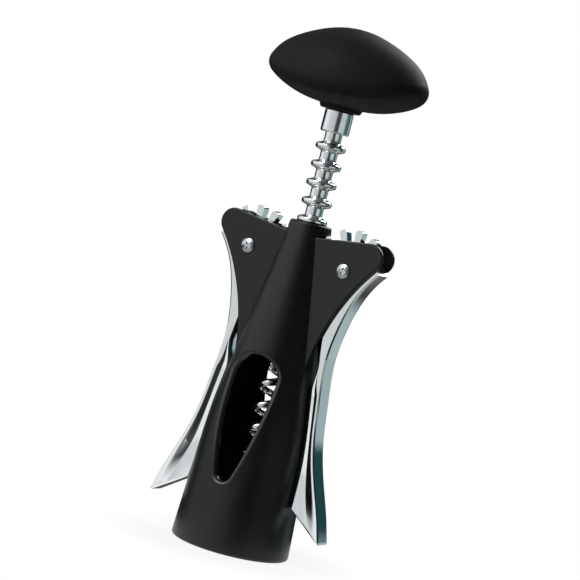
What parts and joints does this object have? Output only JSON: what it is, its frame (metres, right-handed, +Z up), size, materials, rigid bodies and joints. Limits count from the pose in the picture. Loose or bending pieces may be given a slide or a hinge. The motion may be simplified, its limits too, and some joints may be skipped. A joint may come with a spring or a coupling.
{
  "type": "lever corkscrew",
  "caption": "Wing-type lever corkscrew: a black bell that sits on a bottle neck, a ring-toothed spindle with worm and oval knob, and geared levers that lift it.",
  "frame": {"origin": "centre of the bell's rim, on the surface it stands on", "axes": "+Z up along the spindle, +X towards the right lever, -Y towards the front"},
  "size_m": [0.0642, 0.0418, 0.1728],
  "materials": {
    "black_casting": "satin black coating on a zinc die casting",
    "black_knob": "satin black soft-touch moulding",
    "bright_casting": "polished chrome plate on a zinc die casting",
    "spindle_chrome": "polished chrome plate on turned steel",
    "worm_steel": "bright plated steel wire",
    "screw_steel": "zinc-plated steel",
    "brass": "plain turned brass",
    "nylon": "natural nylon"
  },
  "bodies": {
    "frame": {"body_casting": "black_casting", "pivot_screw_left": "screw_steel", "pivot_screw_right": "screw_steel", "pivot_barrel_left": "screw_steel", "pivot_barrel_right": "screw_steel", "lever_washers_left": "nylon", "lever_washers_right": "nylon"},
    "carriage": {"stop_washer": "nylon"},
    "spindle": {"rack_shaft": "spindle_chrome", "ferrule": "spindle_chrome", "worm": "worm_steel", "worm_pin": "screw_steel", "knob_shell": "black_knob", "knob_base": "black_knob", "knob_lock_washer": "screw_steel", "knob_nut": "screw_steel"},
    "left_lever": {"lever_left": "bright_casting", "lever_bush_left": "brass"},
    "right_lever": {"lever_right": "bright_casting", "lever_bush_right": "brass"}
  },
  "joints": [
    {"name": "rack_slide", "type": "slide", "parent": "frame", "child": "carriage", "axis": [0, 0, -1], "range_m": [0, 0.029]},
    {"name": "spindle_turn", "type": "hinge", "parent": "carriage", "child": "spindle", "pos_m": [0, 0, 0.1], "axis": [0, 0, 1], "continuous": true},
    {"name": "left_pivot", "type": "hinge", "parent": "frame", "child": "left_lever", "pos_m": [-0.01769, 0, 0.0965], "axis": [0, 1, 0], "range_deg": [0, 122.25]},
    {"name": "right_pivot", "type": "hinge", "parent": "frame", "child": "right_lever", "pos_m": [0.01769, 0, 0.0965], "axis": [0, -1, 0], "range_deg": [0, 122.25]}
  ],
  "couplings": [
    {"joint": "left_pivot", "follows": "rack_slide", "rad_per_m": 73.574},
    {"joint": "right_pivot", "follows": "rack_slide", "rad_per_m": 73.574}
  ]
}
